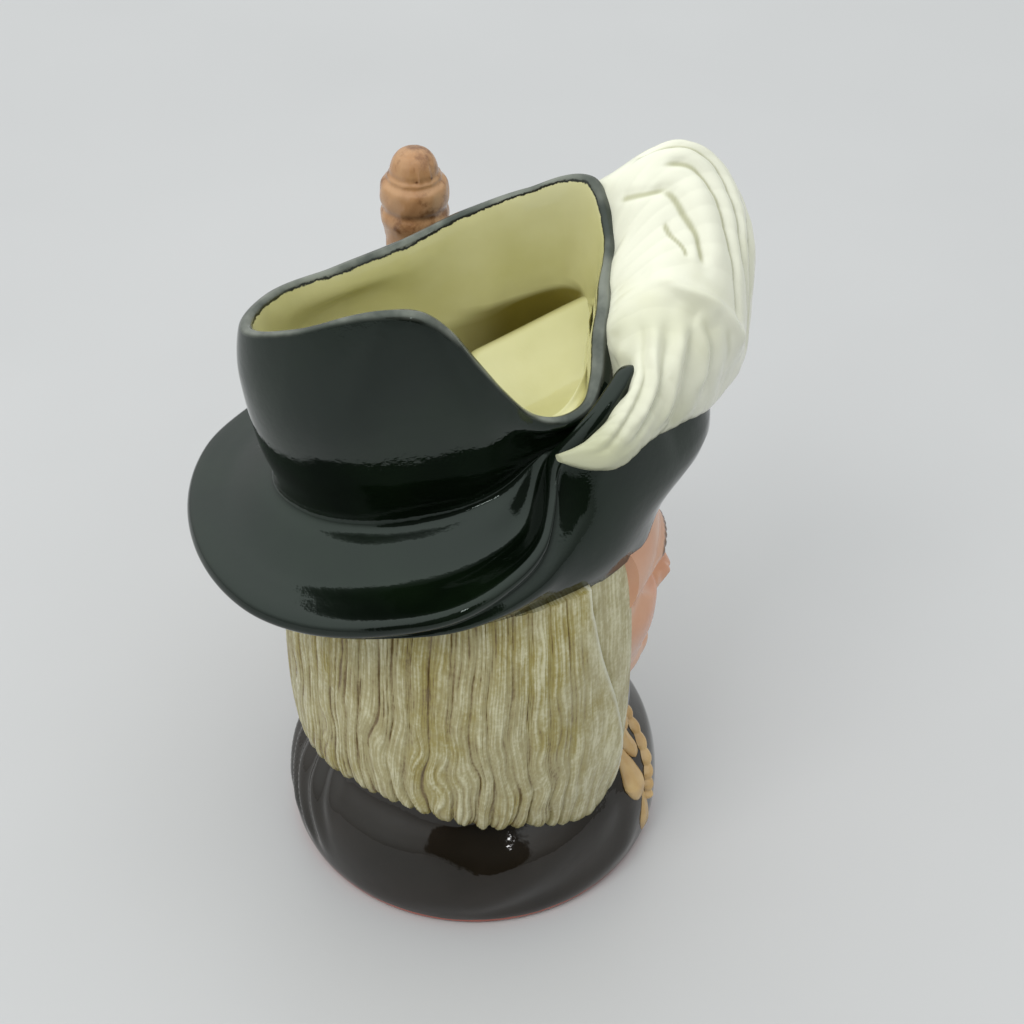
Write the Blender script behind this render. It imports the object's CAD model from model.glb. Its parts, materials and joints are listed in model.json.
"""The toby jug: one glazed casting, dressed as the pieces that its painter would tell apart."""

import bmesh
import bpy
import json
import math
import numpy as np
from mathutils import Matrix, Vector
from mathutils.bvhtree import BVHTree


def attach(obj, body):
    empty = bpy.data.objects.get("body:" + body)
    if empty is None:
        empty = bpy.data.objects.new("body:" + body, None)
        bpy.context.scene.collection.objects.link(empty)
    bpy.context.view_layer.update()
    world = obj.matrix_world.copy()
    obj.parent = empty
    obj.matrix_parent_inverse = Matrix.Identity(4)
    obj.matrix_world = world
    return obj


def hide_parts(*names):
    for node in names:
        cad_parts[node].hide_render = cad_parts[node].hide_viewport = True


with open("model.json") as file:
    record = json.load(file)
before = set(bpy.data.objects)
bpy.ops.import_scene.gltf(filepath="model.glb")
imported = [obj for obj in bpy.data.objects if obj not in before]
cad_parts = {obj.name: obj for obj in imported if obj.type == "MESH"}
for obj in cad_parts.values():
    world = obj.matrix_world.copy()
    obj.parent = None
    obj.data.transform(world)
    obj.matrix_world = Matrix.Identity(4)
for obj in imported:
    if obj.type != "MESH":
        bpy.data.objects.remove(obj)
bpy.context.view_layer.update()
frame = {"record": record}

# ---- frame and sizes: millimetres about the axis of the foot, with the figure facing -Y ----

MM = 0.001
FOOT_MOUNT_OUT = 44.5  # the foot's mount is this far from the axis of the foot, on +X
mount = frame["record"]["mounts"][0]["pos_m"]
AXIS = np.array([mount[0] - FOOT_MOUNT_OUT * MM, mount[1], 0.0])

HAT_AXIS = 5.0
WALL = 4.4
BRIM_THICKNESS = 4.4
LIP = 1.9

# Shoulders: [height, radius]
COAT = [[0, 48.4], [1.2, 49], [4, 49.6], [11, 49.5], [17, 48.6], [22, 46.9], [26, 44], [30, 40.8], [38, 37.8]]
FOOT_RECESS_RADIUS = 41.0
FOOT_RECESS_DEPTH = 1.6
NECK = [[28, 37], [36, 38.6], [39.5, 40.8], [43, 39.6], [46.5, 37], [66, 37]]

# Hair: [height, radius], then [angle, height] of its lower edge
HAIR = [[20, 43.6], [30, 45], [44, 47.1], [62, 47.6], [80, 47.2], [95, 46], [106, 44.6]]
HAIR_EDGE = [
    [0, 40], [44, 38], [48, 33], [52, 27], [57, 23], [63, 22], [72, 24.5], [84, 28.5], [102, 31.5],
    [118, 36], [140, 38], [180, 33]
]
HAIR_FRONT = 43.0
HAIR_COLUMNS = 1020
LOCKS = 62
STRANDS = 214
FLAP_EDGE = [[24, 57], [28, 53], [34, 51], [50, 52], [67, 56.5], [84, 62.5], [100, 66]]  # [height, angle]
FLAP_STEP = 2.8

# Hat: [angle, radius, height] about the hat's axis, the same on both sides where the angles end at 180
RIM = [
    [0, 37, 161.5], [10, 35.5, 159.5], [21, 34.5, 156], [33, 35.5, 149.5], [44, 36, 146.3], [54, 33.4, 145],
    [64, 29.6, 146.5], [78, 28.3, 154.5], [91, 28, 163.5], [104, 28, 172], [117, 29.1, 176.8],
    [132, 31.5, 177], [145, 34.9, 174.6], [160, 41.5, 169.5], [180, 47.5, 162.6], [200, 42.5, 160.6],
    [224, 32.5, 160], [258, 27.8, 162], [291, 30, 167.5], [314, 34.8, 172.5], [333, 43, 176.5],
    [345, 42.2, 168.5]
]
CROWN_SIDE = [
    [0, 37, 147], [45, 34.8, 142], [62, 28.3, 139], [90, 29.5, 145], [120, 31.5, 150], [150, 41.5, 146],
    [180, 47.5, 142], [210, 41.5, 146], [240, 31.5, 150], [270, 29.5, 145], [300, 31.5, 145],
    [315, 36, 146], [330, 42, 148], [345, 41, 147]
]
CROWN_FOOT = [
    [0, 35.5, 138], [30, 33.5, 140], [45, 34, 139], [60, 27.5, 133], [75, 25.5, 127.5], [90, 25.5, 124.5],
    [105, 26.5, 122.5], [120, 28.5, 121], [140, 33.5, 119.5], [160, 39.5, 118.5], [180, 42.5, 118],
    [210, 39, 119], [240, 31.5, 121], [270, 29.5, 124.5], [300, 31, 132], [315, 35, 136], [330, 40, 138],
    [345, 39, 138]
]
BRIM_DISH = [
    [0, 45, 136], [30, 37.5, 143.5], [45, 36.3, 142], [60, 29.3, 132], [75, 33, 120.5], [90, 36, 117],
    [120, 42, 113.5], [150, 50, 112], [180, 53, 111.5], [210, 50, 112], [240, 42, 113.5], [270, 37, 117],
    [285, 35.5, 120.5], [300, 34, 130], [315, 38, 141], [330, 41.5, 143.5]
]
BRIM_EDGE = [
    [0, 58, 142], [15, 50, 149], [28, 42, 151.5], [34, 39.4, 154], [42, 38.2, 152], [50, 37, 147.8],
    [56, 35, 143], [62, 32.3, 137], [68, 36.5, 131], [76, 42.2, 124.5], [90, 47.5, 119.5], [103, 51.5, 116],
    [118, 54.2, 112.7], [138, 59.5, 110], [153, 62.5, 109.5], [180, 63.3, 109.5]
]
BRIM_ROLL = [
    [0, 61, 127], [15, 59.5, 126], [30, 53.5, 125], [45, 48, 125], [60, 44, 123], [69, 45, 118],
    [76, 46.5, 115], [90, 49, 111.5], [103, 51, 109], [118, 53, 107.5], [138, 57, 105.5], [180, 59, 105]
]
BRIM_UNDER = [
    [0, 54, 114], [15, 52.5, 113.5], [30, 49.8, 113], [47, 47.7, 112], [69, 45.5, 110.5], [90, 46, 107],
    [120, 46.5, 104.8], [180, 48, 104.6]
]
HAT_FOOT = [
    [0, 45.5, 103], [20, 46.5, 104], [31, 48.2, 105], [47, 45.8, 104], [69, 43, 103], [95, 43, 103],
    [120, 41, 103], [150, 39, 103], [180, 38, 103]
]

# Plume: [angle, radius, height] of each line that runs along it
PLUME = {
    "root": [
        [-58, 37, 141], [-46, 40, 149], [-36, 39, 160], [-27, 42, 171.5], [-15, 41, 166.5], [0, 36, 159.5],
        [10, 34.5, 157.5], [20, 34, 154.5], [30, 38.8, 150.5], [38, 41.2, 149.5], [50, 40.3, 145],
        [56, 38.5, 141.5], [62, 34, 138.1]
    ],
    "swell": [
        [-58, 38, 142], [-46, 44, 151.5], [-36, 46, 161.5], [-27, 49, 174.5], [-20, 50, 179.5],
        [-10, 48, 175], [0, 46, 169.5], [10, 43, 165], [20, 41, 160.5], [28, 42, 157], [38, 43.5, 153],
        [50, 42.2, 147], [56, 40, 143], [62, 34.6, 138.7]
    ],
    "crest": [
        [-58, 39.5, 142], [-46, 48, 150.5], [-36, 53, 160.5], [-28, 57, 172.5], [-20, 62.5, 181.5],
        [-10, 61, 177], [0, 57.5, 171], [10, 52, 166], [20, 47.5, 161], [28, 45.5, 157.5], [38, 45.5, 153],
        [50, 44.4, 147], [56, 42.2, 143], [62, 35.4, 138.7]
    ],
    "shoulder": [
        [-58, 41, 141], [-46, 52, 147.5], [-36, 60, 155.5], [-28, 67, 165], [-20, 73, 173],
        [-10, 73, 168.5], [0, 68, 163], [10, 61, 160], [20, 54.5, 157.5], [28, 50.5, 154.5], [38, 48, 150],
        [50, 46.3, 144], [56, 43.6, 140.8], [62, 36, 138]
    ],
    "face": [
        [-58, 41.5, 139.5], [-46, 53, 143.5], [-36, 63, 147.5], [-28, 71, 151.5], [-20, 76, 156],
        [-10, 77, 152], [0, 71.5, 148], [10, 66, 146.5], [20, 58.5, 146], [28, 53.5, 145.5],
        [38, 49.5, 143.5], [50, 47, 140], [56, 43.8, 138], [62, 36, 137.5]
    ],
    "hem": [
        [-58, 40.5, 138], [-46, 50, 139], [-36, 59, 139.5], [-28, 66, 138.5], [-20, 70, 137],
        [-10, 72, 134], [0, 70.5, 132], [8, 64, 130.5], [14, 59.2, 130.5], [27, 52.2, 135.5],
        [38, 47.6, 137], [50, 45.2, 135.6], [56, 41.5, 136], [62, 35.5, 137]
    ],
    "under": [
        [-58, 37.5, 138], [-46, 39, 136], [-36, 39, 134], [-20, 38.5, 133], [0, 37.5, 133],
        [14, 37.5, 133.5], [27, 38, 134], [38, 39, 134.5], [50, 39.5, 134], [56, 38, 134.8], [62, 34.5, 137]
    ],
}
PLUME_ENDS = (62.0, -58.0)
PLUME_STEPS = 400
PLUME_COLUMNS = 200
PLUME_REACH = 52.0  # how far out it lies on the whole, so that its folds' widths come out in millimetres

# Inside
HEAD_HOLLOW = [
    [6.4, 36], [8.2, 41.5], [13, 43.7], [22, 41], [30, 35.8], [38, 34], [48, 36.5], [62, 40.5], [80, 40.6],
    [93, 39.2]
]
BEHIND_FACE = [[40, 0], [48, 5.4], [60, 6.5], [76, 4.8], [93, 3.8]]
BROW_HOLLOW = [
    [0, 45, 112], [30, 42, 112], [60, 38.5, 108], [90, 38, 103], [180, 36, 101], [270, 37, 99],
    [300, 38.5, 106], [330, 42, 112]
]
BRIM_HOLLOW = [
    [0, 49, 122], [30, 44, 122], [45, 39, 120], [60, 33, 117], [90, 28, 112], [120, 30, 111],
    [180, 36, 108], [240, 29.5, 107], [270, 27, 106], [300, 32, 115], [315, 39, 120], [330, 44, 122]
]
ROOF = [
    [0, 34, 129], [30, 31, 128], [60, 22, 122], [90, 17, 117], [120, 20, 115], [180, 28, 111],
    [240, 20, 112], [270, 16, 114], [300, 22, 122], [330, 31, 128]
]
RIDGE_Y, RIDGE_HEIGHT, RIDGE_SLOPE = -19.0, 143.0, -0.42
FLOOR = [
    [-30, -2], [-20, -4.5], [-10, -7.5], [-2, -8.5], [6, -4.5], [12, -0.3], [15, -0.8], [18, -6], [22, -20]
]
WELL_FRONT, WELL_BACK, WELL_BOTTOM = -4.0, 12.0, 106.0
HOLLOW_FOOT = [
    [0, 32, 150], [30, 30, 146], [45, 28, 142], [60, 22.4, 138], [75, 21.2, 131], [90, 21.4, 126],
    [120, 24.2, 122], [150, 32.4, 119], [180, 38, 117], [210, 34.8, 114], [240, 26.8, 112], [270, 25, 111],
    [300, 26.3, 122], [315, 31, 136], [330, 37, 144], [345, 36.5, 148]
]

# Handle: [x, height], and [height below the top, radius] of its turned head
POST_Y = 2.0
POST_TOP = 169.8
POST_PATH = [
    [44.5, 21], [55, 23], [67, 33], [72.5, 50], [71.5, 70], [64, 91], [54.8, 108], [51.6, 122], [51.3, 146]
]
POST_RADIUS = 7.3
STRAP_TURN = 194.0  # the straps over the head's top lie on the side away from the face
POST_HEAD = [
    [0, 0], [0.5, 2.9], [2, 4.7], [4.3, 5.7], [6.4, 6.1], [8.6, 7.9], [11, 8.4], [13.2, 8.3], [14.9, 7.8],
    [16.3, 8.3], [17.8, 8.4], [20.6, 7.7], [23, 7.4]
]

# Braid down the coat's edge: [height, angle]
BRAID_PATH = [[4.5, 38.5], [12, 37], [18, 33.5], [23, 28], [28, 21], [33, 16]]

# Its leaves and the tongue under them: [height, angle] at the tip and at the root, half width, thickness
LEAVES = [
    ((3.8, 38.5), (18.5, 36.5), 2.7, 1.3), ((17.8, 41), (30.5, 35), 4.7, 2.1),
    ((25, 31.5), (32.5, 26), 3.1, 1.8), ((29.5, 25), (35.5, 20), 2.4, 1.5),
]

# Face
CHIN = 45.0
THIRD = 24.0
NOSE = CHIN + THIRD
BROW = NOSE + THIRD
EYE = BROW - 7
MOUTH = NOSE - THIRD / 3
EYE_ASIDE = 13.0
EYE_HALF = 6.4
FACE_HALF = [
    [CHIN - 8, 10], [CHIN - 2, 15], [CHIN + 4, 19.5], [CHIN + 12, 25], [CHIN + 24, 29.5], [CHIN + 36, 32],
    [CHIN + 55, 32]
]
FACE_FRONT = [
    [CHIN - 8, 34], [CHIN - 3, 39], [CHIN + 1.5, 43.6], [CHIN + 6, 44.6], [MOUTH - 5, 43], [MOUTH, 43.8],
    [NOSE, 43.2], [EYE - 8, 43], [EYE, 41.6], [BROW, 44.2], [BROW + 8, 44], [BROW + 17, 40]
]


# ---- curves and lofts ----


def spline(rows, at, closed=False):
    """Values of a smooth curve through [at, value, ...] rows; closed curves run on past 360."""
    t = np.asarray(rows, float)
    at = np.asarray(at, float)
    if closed:
        turn = np.zeros(t.shape[1])
        turn[0] = 360
        t = np.concatenate([t[-2:] - turn, t, t[:2] + turn])
        at = np.mod(at, 360)
    else:
        at = np.clip(at, t[0, 0], t[-1, 0])
    i = np.clip(np.searchsorted(t[:, 0], at, side="right") - 1, 0, len(t) - 2)
    a, b, c, d = t[np.maximum(i - 1, 0)], t[i], t[i + 1], t[np.minimum(i + 2, len(t) - 1)]
    span = (c - b)[..., :1]
    u = (at[..., None] - b[..., :1]) / span
    into = (c - a)[..., 1:] / (c - a)[..., :1] * span
    out = (d - b)[..., 1:] / (d - b)[..., :1] * span
    rise = (c - b)[..., 1:]
    return b[..., 1:] + u * (into + u * (3 * rise - 2 * into - out + u * (into + out - 2 * rise)))


def mirrored(rows):
    """The rows of one side, from 0 to 180 degrees, with the other side's after them."""
    other = [[360 - row[0], *row[1:]] for row in rows if 0 < row[0] < 180]
    return rows + other[::-1]


def smooth(x, low, high):
    """A smooth step from 0 to 1."""
    t = np.clip((x - low) / (high - low), 0, 1)
    return t * t * (3 - 2 * t)


def aside(angle):
    """The angle away from the front, on either side."""
    angle = np.mod(angle, 360)
    return np.where(angle > 180, 360 - angle, angle)


def place(angle, radius, height, axis=0.0):
    """Points from their angle, radius and height about an upright axis at y = axis."""
    turn = np.radians(angle)
    return np.stack(np.broadcast_arrays(-radius * np.sin(turn), axis - radius * np.cos(turn), height), -1)


def polar(points, axis=0.0):
    """The angle, radius and height of points about an upright axis at y = axis."""
    x, y, z = points[..., 0], points[..., 1] - axis, points[..., 2]
    return np.mod(np.degrees(np.arctan2(-x, -y)), 360), np.hypot(x, y), z


def piece_from(name, points, faces):
    mesh = bpy.data.meshes.new(name)
    mesh.from_pydata((np.asarray(points) * MM + AXIS).tolist(), [], faces)
    mesh.validate()
    piece = bpy.data.objects.new(name, mesh)
    bpy.context.scene.collection.objects.link(piece)
    return piece


def loft(name, rows, first, last):
    """A closed skin through closed rows of points, each end drawn together at a point."""
    rows = np.asarray(rows, float)
    count, columns = rows.shape[:2]
    points = np.concatenate([[first], rows.reshape(-1, 3), [last]])
    ring = np.arange(columns)
    after = np.roll(ring, -1)
    faces = []
    for i in range(count - 1):
        low, high = 1 + i * columns, 1 + (i + 1) * columns
        faces += np.stack([low + ring, low + after, high + after, high + ring], 1).tolist()
    top = 1 + (count - 1) * columns
    faces += np.stack([np.zeros(columns, int), 1 + after, 1 + ring], 1).tolist()
    faces += np.stack([np.full(columns, len(points) - 1), top + ring, top + after], 1).tolist()
    a, b, c = (points[[face[k] for face in faces]] for k in range(3))
    if np.einsum("ij,ij->", np.cross(a, b), c) < 0:
        faces = [face[::-1] for face in faces]
    return piece_from(name, points, faces)


def boolean(piece, other, operation):
    change = piece.modifiers.new(operation.lower(), "BOOLEAN")
    change.operation, change.object, change.solver = operation, other, "MANIFOLD"
    graph = bpy.context.evaluated_depsgraph_get()
    made = bpy.data.meshes.new_from_object(piece.evaluated_get(graph))
    piece.modifiers.clear()
    piece.data = made


def noise(x, y, seed):
    """Smooth noise between -1 and 1 over a grid of unit cells."""
    def lattice(i, j):
        value = np.sin(i * 127.1 + j * 311.7 + seed * 74.7) * 43758.5453
        return (value - np.floor(value)) * 2 - 1
    i, j = np.floor(x), np.floor(y)
    u, v = smooth(x - i, 0, 1), smooth(y - j, 0, 1)
    low = lattice(i, j) * (1 - u) + lattice(i + 1, j) * u
    high = lattice(i, j + 1) * (1 - u) + lattice(i + 1, j + 1) * u
    return low * (1 - v) + high * v


def bump(x, z, wide, tall):
    """A rounded swelling, 1 in the middle and 0 from an ellipse outwards."""
    near = np.maximum(0, 1 - (x / wide) ** 2 - (z / tall) ** 2)
    return near * near * (3 - 2 * near)


def points_of(piece):
    co = np.empty(len(piece.data.vertices) * 3, np.float32)
    piece.data.vertices.foreach_get("co", co)
    return (co.reshape(-1, 3).astype(float) - AXIS) / MM


def attribute(piece, name, values):
    layer = piece.data.attributes.new(name, "FLOAT", "POINT")
    layer.data.foreach_set("value", np.asarray(values, np.float32))


# ---- shoulders ----


def coat_fold(angle, height):
    lean = angle - 0.9 * height
    pleat = np.cos(np.radians(lean * 34 + 40 * noise(lean / 9, height / 14, 41)))
    behind = 0.65 * pleat * smooth(angle, 150, 166) * (1 - smooth(angle, 194, 210)) * smooth(height, 3, 10)
    behind = behind * (1 - smooth(height, 28, 34))
    drape = np.cos(np.radians((angle + 2.4 * height) * 5.5))
    drape = drape + 0.5 * noise(angle / 12 + height / 9, height / 11, 42)
    beside = 0.75 * drape * smooth(angle, 40, 52) * (1 - smooth(angle, 100, 150))
    other = 0.6 * np.cos(np.radians((angle - 1.8 * height) * 5)) * smooth(angle, 205, 230)
    return (behind + beside + other * (1 - smooth(angle, 312, 322))) * smooth(height, 2, 9)


def make_coat():
    angle = np.linspace(0, 360, 300, endpoint=False)
    heights = np.concatenate([[0, 0.35, 0.8, 1.4], np.linspace(2.2, 38, 38)])
    rows = []
    for height in heights:
        radius = spline(COAT, np.full_like(angle, height))[:, 0] + coat_fold(angle, height)
        rows.append(place(angle, radius - (0.7 if height == 0 else 0), height))
    coat = loft("coat", rows, (0, 0, 0), (0, 0, 38))
    depths = [-1 + k * (FOOT_RECESS_DEPTH + 1) / 2 for k in range(3)]
    walls = [place(angle, FOOT_RECESS_RADIUS + 0.3 - k * 0.5, depth) for k, depth in enumerate(depths)]
    recess = loft("recess", walls, (0, 0, -1), (0, 0, FOOT_RECESS_DEPTH))
    boolean(coat, recess, "DIFFERENCE")
    bpy.data.objects.remove(recess)
    return coat


def make_neck():
    angle = np.linspace(0, 360, 160, endpoint=False)
    heights = np.concatenate([np.linspace(28, 50, 28), np.linspace(52, 66, 6)])
    rows = []
    for height in heights:
        fold = 0.35 * np.sin(height * 2.1 + 0.9 * np.sin(np.radians(angle * 3)))
        fold = fold * (1 - smooth(height, 44, 47))
        rows.append(place(angle, spline(NECK, np.full_like(angle, height))[:, 0] + fold, height))
    return loft("neck", rows, (0, 0, 28), (0, 0, 66))


# ---- hair ----


def hair_phase(angle, height):
    """Angle carried along the strands, which hang straight under the hat and wave lower down."""
    slow = 1.5 * np.sin(height / 13 + angle / 19) + 1.0 * np.sin(height / 7.1 - angle / 8.5)
    fast = 0.35 * np.sin(height / 3.4 + angle / 4.3) + 1.1 * noise(angle / 5, height / 8, 3)
    spread = 1.1 * noise(angle / 3.2, angle * 0, 6)
    return angle + spread + (slow + fast) * (1 - 0.65 * smooth(height, 58, 84))


def hair_groove(angle, height):
    """How deep each point lies between the strands and the locks, from 0 on top to 1 in a groove."""
    phase = hair_phase(angle, height)
    strand = phase * STRANDS / 360
    depth = np.clip(0.62 + 0.5 * noise(strand * 0.9, height / 11, 11), 0.1, 1)
    wide = 1 - np.abs(np.sin(np.pi * strand)) ** 0.7
    narrow = 1 - np.abs(np.sin(np.pi * (strand * 2.1 + 0.3 * noise(angle / 3, height / 12, 12)))) ** 0.8
    fine = np.maximum(wide * depth, 0.45 * narrow)
    lock = 1 - np.abs(np.sin(np.pi * phase * LOCKS / 360 + 0.4 * noise(angle / 5, height / 20, 5))) ** 0.6
    return fine, lock


def hair_flap(angle, height):
    """0 on the lock beside the face and 1 on the top layer, which laps over it."""
    turn = spline(FLAP_EDGE, height)[..., 0]
    return smooth(aside(angle), turn - 0.8, turn + 1.3)


def hair_calm(angle):
    """0 where the big outer lock lies smooth, and 1 where the strands stand out."""
    return 0.12 + 0.88 * smooth(aside(angle), 64, 84)


def hair_surface(angle, height):
    side = aside(angle)
    flap = hair_flap(angle, height)
    reach = spline(HAIR, height)[..., 0] - FLAP_STEP * (1 - flap)
    turn = spline(FLAP_EDGE, height)[..., 0]
    reach = reach - 0.9 * np.exp(-(((side - turn) / 1.4) ** 2)) * (side < turn)
    fine, lock = hair_groove(angle, height)
    calm = hair_calm(angle)
    ends = 0.55 + 0.9 * (1 - smooth(height, 30, 62))
    reach = reach - (0.06 + 0.42 * calm) * fine - (0.1 + 0.85 * calm) * lock * ends
    broad = 0.5 * noise(angle / 9, height / 22, 8)
    return reach + broad * smooth(side, HAIR_FRONT + 2, 60) + 0.4


def make_hair():
    seen = np.linspace(HAIR_FRONT + 0.3, 360 - HAIR_FRONT - 0.3, HAIR_COLUMNS)
    hidden = np.array([0.0, 14, 28, 38, 41, 42.3])
    angle = np.concatenate([hidden, seen, 360 - hidden[:0:-1]])
    side = aside(angle)
    edge = spline(mirrored(HAIR_EDGE), angle, closed=True)[:, 0]
    phase = hair_phase(angle, edge)
    lobes = np.abs(np.sin(np.pi * phase * LOCKS / 360)) ** 0.7
    edge = edge - (1.5 * lobes - 0.9) * hair_calm(angle) + 0.5 * noise(angle / 11, edge * 0, 21)
    levels = np.concatenate([[0, 0.004, 0.012, 0.024, 0.04], np.linspace(0.06, 1, 62)])
    tuck = np.interp(levels, [0, 0.004, 0.012, 0.024, 0.04, 0.06, 0.09], [7, 4.2, 2.2, 1.0, 0.4, 0.1, 0])
    top = HAIR[-1][0]
    behind_face = 1 - smooth(side, HAIR_FRONT - 1, HAIR_FRONT + 0.4)
    rows = []
    for level, inward in zip(levels, tuck):
        height = edge + (top - edge) * level
        reach = hair_surface(angle, height) - inward
        round_front = 2.2 * (1 - smooth(side, HAIR_FRONT + 0.3, HAIR_FRONT + 3.5)) ** 2
        reach = reach - round_front
        rows.append(place(angle, reach + (27 - reach) * behind_face, height))
    return loft("hair", rows, (0, 0, 40), (0, 0, top))


# ---- face ----


def eyelids(side):
    """How far each point lies from the eye's middle, in half widths, and the lids' heights there."""
    across = np.abs((side - EYE_ASIDE) / EYE_HALF)
    upper = EYE + 2.9 * (1 - np.clip(across, 0, 1) ** 2.2)
    lower = EYE - 2.3 * (1 - np.clip(across, 0, 1) ** 2)
    return across, upper, lower


def eyebrow(side):
    """The height of the middle of the eyebrow."""
    return BROW + 1.2 - 2.2 * ((side - 11) / 11) ** 2


def face_depth(part, height):
    """How far the face stands out at a height, and at a part of its half width to either side."""
    side = np.abs(part) * spline(FACE_HALF, height)[..., 0]
    depth = spline(FACE_FRONT, height)[..., 0] - 12.5 * np.abs(part) ** 2.5
    depth = depth + 2.2 * bump(side - 19, height - (EYE - 11), 14, 12)
    depth = depth + 1.5 * bump(side - 12, height - BROW, 15, 5)
    depth = depth - 3.8 * bump(side - EYE_ASIDE, height - EYE, 11, 8.5)
    depth = depth + 3.3 * bump(side - EYE_ASIDE, height - EYE, 8, 5.6)
    down = np.clip((BROW - height) / THIRD, 0, 1)
    bridge = smooth(height, NOSE - 2.4, NOSE + 2.6) * (1 - smooth(height, BROW - 3, BROW + 4))
    ridge = np.exp(-((side / (3.6 + 2.6 * down ** 2)) ** 2.2))
    depth = depth + (1.4 + 8.6 * down ** 1.3) * bridge * ridge
    depth = depth + 2.4 * bump(side - 6.2, height - (NOSE + 3), 4.4, 4.8)
    depth = depth + 1.6 * bump(side, height - (MOUTH + 2.4), 12, 3.4)
    depth = depth + 1.9 * bump(side, height - (MOUTH - 2.8), 10, 3.8)
    depth = depth - 1.4 * bump(side, height - MOUTH, 12.5, 1.6)
    depth = depth + 1.8 * bump(side, height - (CHIN + 5), 11, 7.5)
    # finer forms: lids, nostrils, the groove over the lip, brows
    across, upper, lower = eyelids(side)
    inside = smooth(height, lower - 0.2, lower + 0.5) * (1 - smooth(height, upper - 0.5, upper + 0.2))
    depth = depth - 0.75 * inside * (across < 1)
    depth = depth + 0.5 * np.exp(-((height - upper - 0.9) / 0.9) ** 2) * (across < 1.15)
    depth = depth - 0.6 * np.exp(-((height - upper - 2.9) / 0.7) ** 2) * (1 - smooth(across, 0.8, 1.3))
    depth = depth + 0.3 * np.exp(-((height - lower + 0.7) / 0.7) ** 2) * (across < 1.1)
    depth = depth - 1.3 * bump(side - 4.1, height - (NOSE + 0.6), 2.0, 1.5)
    depth = depth - 0.5 * bump(side, height - (MOUTH + 5.2), 1.7, 3)
    hairs = 0.16 * np.sin(side * 3.1 + height * 1.4)
    strip = np.exp(-((height - eyebrow(side)) / 1.5) ** 2) * smooth(side, 3.5, 6) * (1 - smooth(side, 19, 22))
    depth = depth + (0.7 + hairs) * strip
    return depth


def make_face():
    part = np.concatenate([-np.linspace(1, 0, 78), np.linspace(0, 1, 78)[1:]])
    heights = np.concatenate([np.linspace(CHIN - 8, CHIN - 1, 9), np.linspace(CHIN, BROW + 6, 118),
                              np.linspace(BROW + 7.5, CHIN + 65, 9)])
    rows = []
    for height in heights:
        level = np.full_like(part, height)
        half = spline(FACE_HALF, level)[:, 0]
        skin = np.stack([part * half, -face_depth(part, level), level], 1)
        back = [[half[0] - 2, -12, height], [2 - half[0], -12, height]]
        rows.append(np.concatenate([skin, back]))
    return loft("face", rows, np.mean(rows[0], 0), np.mean(rows[-1], 0))


# ---- hat ----


def through(curves, steps):
    """Rows along a smooth profile through curves, with steps[i] rows between curve i and the next."""
    curves = np.asarray(curves, float)
    rows = []
    last = len(curves) - 1
    for i in range(last):
        a, b, c, d = curves[max(i - 1, 0)], curves[i], curves[i + 1], curves[min(i + 2, last)]
        length = [np.maximum(np.linalg.norm(q - p, axis=1, keepdims=True), 1e-3) ** 0.5
                  for p, q in ((a, b), (b, c), (c, d))]
        for k in range(steps[i]):
            u = k / steps[i]
            into = ((c - b) / length[1] - (c - a) / (length[0] + length[1]) + (b - a) / length[0]) * length[1]
            out = ((c - b) / length[1] - (d - b) / (length[1] + length[2]) + (d - c) / length[2]) * length[1]
            if i == 0:
                into = c - b
            if i == last - 1:
                out = c - b
            rise = c - b
            rows.append(b + u * (into + u * (3 * rise - 2 * into - out + u * (into + out - 2 * rise))))
    rows.append(curves[-1])
    return np.array(rows)


def make_hat():
    angle = np.linspace(0, 360, 420, endpoint=False)
    ring = lambda rows: spline(rows, angle, closed=True)
    rim, side, foot, dish = (ring(rows) for rows in (RIM, CROWN_SIDE, CROWN_FOOT, BRIM_DISH))
    edge, roll, under, base = (ring(mirrored(rows)) for rows in (BRIM_EDGE, BRIM_ROLL, BRIM_UNDER, HAT_FOOT))
    out = edge - dish
    out = out / np.linalg.norm(out, axis=1, keepdims=True)
    over = np.stack([out[:, 1], -out[:, 0]], 1)
    brim_end = lambda along, across: edge + out * along + over * across
    lip = lambda inwards, down: rim - np.array([inwards, down])
    part = lambda a, b, t, swell=0.0: a + (b - a) * t + np.array([swell, 0])
    curves = [base, under, roll, brim_end(-1.4, BRIM_THICKNESS), brim_end(0.1, BRIM_THICKNESS * 0.8),
              brim_end(0.6, BRIM_THICKNESS * 0.5), brim_end(0.1, BRIM_THICKNESS * 0.2), brim_end(-0.9, 0),
              part(edge, dish, 0.55), dish, part(dish, foot, 0.62, -0.4), foot, part(foot, side, 0.5, 0.4),
              side, part(side, rim, 0.5, 0.9), lip(0, 1.7), lip(0.55, 0.5), lip(LIP, 0), lip(3.4, 0)]
    steps = [4, 4, 6, 3, 3, 3, 3, 6, 6, 5, 5, 5, 5, 6, 5, 3, 3, 2]
    rows = [place(angle, row[:, 0], row[:, 1], HAT_AXIS) for row in through(curves, steps)]
    return loft("hat", rows, (0, HAT_AXIS, 101), (0, HAT_AXIS, 158))


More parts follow.
